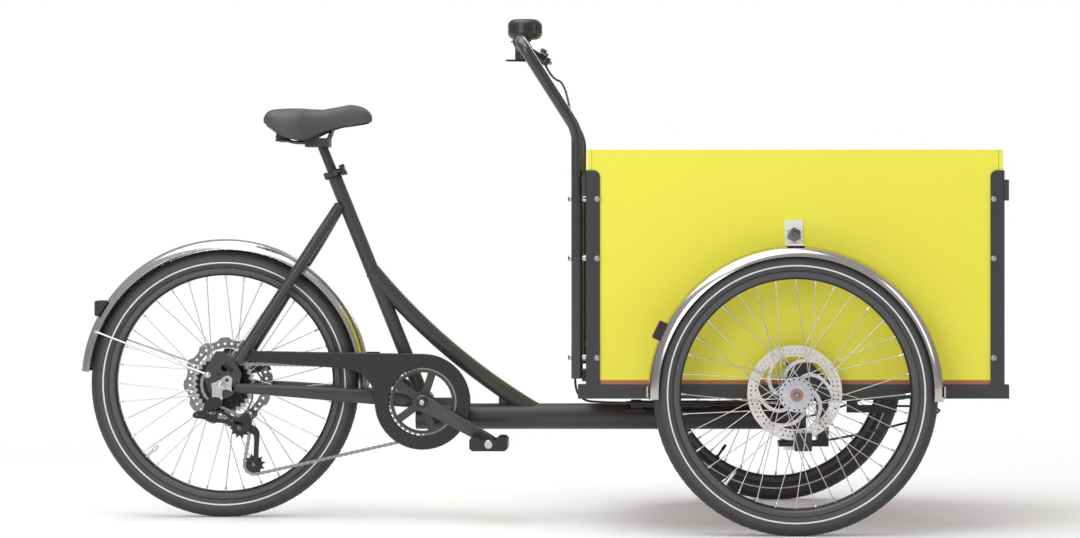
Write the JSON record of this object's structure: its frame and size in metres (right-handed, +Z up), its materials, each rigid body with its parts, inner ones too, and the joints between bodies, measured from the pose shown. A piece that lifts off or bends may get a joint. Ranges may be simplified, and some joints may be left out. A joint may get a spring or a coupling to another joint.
{
  "type": "cargo tricycle",
  "caption": "Cargo tricycle with a steerable front box between two front wheels, one driven rear wheel, chain drive, disc brakes, mudguards and an upright handlebar.",
  "frame": {"origin": "on the ground under the middle of the tricycle's length and width", "axes": "+X points forward, +Y to the rider's left, +Z up"},
  "size_m": [2.0452, 0.8746, 1.124],
  "materials": {
    "frame_paint": "satin anthracite powder coat",
    "black_paint": "gloss black coat",
    "dark_alloy": "dark grey anodised",
    "box_laminate": "smooth yellow laminate with a low sheen",
    "floor_wood": "reddish brown film-faced plywood edge",
    "black_plastic": "moulded black",
    "bell_finish": "glossy black dome",
    "red_lens": "clear red lens on a black base",
    "grip_rubber": "ribbed dark grey",
    "saddle_skin": "black leatherette with seams",
    "tyre_rubber": "dark grey with a pale reflective line",
    "polished_stainless": "polished sheet",
    "silver_alloy": "satin silver",
    "bright_steel": "zinc plated",
    "dark_steel": "dark brownish grey"
  },
  "bodies": {
    "frame": {"frame": "frame_paint", "seat_clamp": "black_paint", "bottom_bracket_cups": "bright_steel", "chain_guard": "black_plastic", "chain": "bright_steel", "rear_axle": "bright_steel", "rear_mudguard": "polished_stainless", "rear_light": "red_lens", "rear_caliper": "black_paint", "derailleur_link": "black_plastic", "derailleur_cage": "black_plastic", "cable_conduit": "black_plastic"},
    "seat": {"seat_post": "black_paint", "saddle_rails": "bright_steel", "saddle_base": "black_plastic", "saddle_cover": "saddle_skin"},
    "seat_lever": {"seat_lever": "black_paint"},
    "crank": {"crank_right": "black_paint", "crank_left": "black_paint", "chainring": "dark_steel"},
    "pedal_right": {"pedal_right": "black_plastic"},
    "pedal_left": {"pedal_left": "black_plastic"},
    "rear_wheel": {"rear_tyre": "tyre_rubber", "rear_rim": "dark_alloy", "rear_spokes": "bright_steel", "rear_hub": "silver_alloy", "rear_rotor": "polished_stainless"},
    "cassette": {"cassette": "bright_steel"},
    "guide_pulley": {"guide_pulley": "black_plastic"},
    "tension_pulley": {"tension_pulley": "black_plastic"},
    "carrier": {"box_frame": "frame_paint", "corner_posts": "frame_paint", "box_panels": "box_laminate", "floor_panel": "floor_wood", "kingpin": "bright_steel", "handlebar": "black_paint", "box_bolts": "bright_steel", "grips": "grip_rubber", "bell": "bell_finish", "control_clamps": "black_plastic", "front_mudguards": "polished_stainless", "marker_lights": "black_plastic", "front_calipers": "black_paint", "stub_axles": "bright_steel", "brake_cables": "black_plastic"},
    "front_wheel_right": {"front_right_tyre": "tyre_rubber", "front_right_rim": "dark_alloy", "front_right_spokes": "bright_steel", "front_right_hub": "silver_alloy", "front_right_rotor": "polished_stainless"},
    "front_wheel_left": {"front_left_tyre": "tyre_rubber", "front_left_rim": "dark_alloy", "front_left_spokes": "bright_steel", "front_left_hub": "silver_alloy", "front_left_rotor": "polished_stainless"},
    "brake_lever_right": {"brake_lever_right": "black_paint"},
    "brake_lever_left": {"brake_lever_left": "black_paint"},
    "shift_lever": {"shift_lever": "black_plastic"},
    "bell_lever": {"bell_lever": "black_plastic"}
  },
  "joints": [
    {"name": "steering", "type": "hinge", "parent": "frame", "child": "carrier", "pos_m": [0.57558, 0, 0.223], "axis": [0, 0, 1], "range_deg": [-35, 35]},
    {"name": "rear_wheel_spin", "type": "hinge", "parent": "frame", "child": "rear_wheel", "pos_m": [-0.69942, 0, 0.3005], "axis": [0, 1, 0], "continuous": true},
    {"name": "front_right_spin", "type": "hinge", "parent": "carrier", "child": "front_wheel_right", "pos_m": [0.56158, -0.39, 0.3005], "axis": [0, 1, 0], "continuous": true},
    {"name": "front_left_spin", "type": "hinge", "parent": "carrier", "child": "front_wheel_left", "pos_m": [0.56158, 0.39, 0.3005], "axis": [0, 1, 0], "continuous": true},
    {"name": "crank_spin", "type": "hinge", "parent": "frame", "child": "crank", "pos_m": [-0.25142, 0, 0.262], "axis": [0, 1, 0], "continuous": true, "deforming": ["chain"]},
    {"name": "pedal_right_spin", "type": "hinge", "parent": "crank", "child": "pedal_right", "pos_m": [-0.09901, -0.13, 0.176], "axis": [0, 1, 0], "continuous": true},
    {"name": "pedal_left_spin", "type": "hinge", "parent": "crank", "child": "pedal_left", "pos_m": [-0.40383, 0.13, 0.348], "axis": [0, 1, 0], "continuous": true},
    {"name": "cassette_spin", "type": "hinge", "parent": "frame", "child": "cassette", "pos_m": [-0.69942, -0.047, 0.3005], "axis": [0, 1, 0], "continuous": true},
    {"name": "guide_pulley_spin", "type": "hinge", "parent": "frame", "child": "guide_pulley", "pos_m": [-0.65942, -0.047, 0.204], "axis": [0, 1, 0], "continuous": true},
    {"name": "tension_pulley_spin", "type": "hinge", "parent": "frame", "child": "tension_pulley", "pos_m": [-0.62844, -0.047, 0.12163], "axis": [0, 1, 0], "continuous": true},
    {"name": "seat_slide", "type": "slide", "parent": "frame", "child": "seat", "axis": [-0.3723, 0, 0.9281], "range_m": [-0.04, 0.08]},
    {"name": "seat_lever_turn", "type": "hinge", "parent": "frame", "child": "seat_lever", "pos_m": [-0.43214, -0.025, 0.781], "axis": [0.3723, 0, -0.9281], "range_deg": [0, 170]},
    {"name": "brake_right_squeeze", "type": "hinge", "parent": "carrier", "child": "brake_lever_right", "pos_m": [0.01768, -0.104, 1.02744], "axis": [-0.5299, 0, -0.848], "range_deg": [0, 12], "stiffness_Nm_per_rad": 4, "springref_deg": -5.73},
    {"name": "brake_left_squeeze", "type": "hinge", "parent": "carrier", "child": "brake_lever_left", "pos_m": [0.01768, 0.104, 1.02744], "axis": [0.5299, 0, 0.848], "range_deg": [0, 12], "stiffness_Nm_per_rad": 4, "springref_deg": -5.73},
    {"name": "shift_push", "type": "hinge", "parent": "carrier", "child": "shift_lever", "pos_m": [-0.02642, -0.066, 1.023], "axis": [0, 0, 1], "range_deg": [0, 25], "stiffness_Nm_per_rad": 1, "springref_deg": -5.73},
    {"name": "bell_push", "type": "hinge", "parent": "carrier", "child": "bell_lever", "pos_m": [-0.02642, 0.066, 1.076], "axis": [0, 0, 1], "range_deg": [0, 30], "stiffness_Nm_per_rad": 0.5, "springref_deg": -5.73}
  ],
  "couplings": [
    {"joint": "cassette_spin", "follows": "crank_spin", "ratio": 1.6522},
    {"joint": "guide_pulley_spin", "follows": "crank_spin", "ratio": -3.4545},
    {"joint": "tension_pulley_spin", "follows": "crank_spin", "ratio": 3.4545}
  ]
}
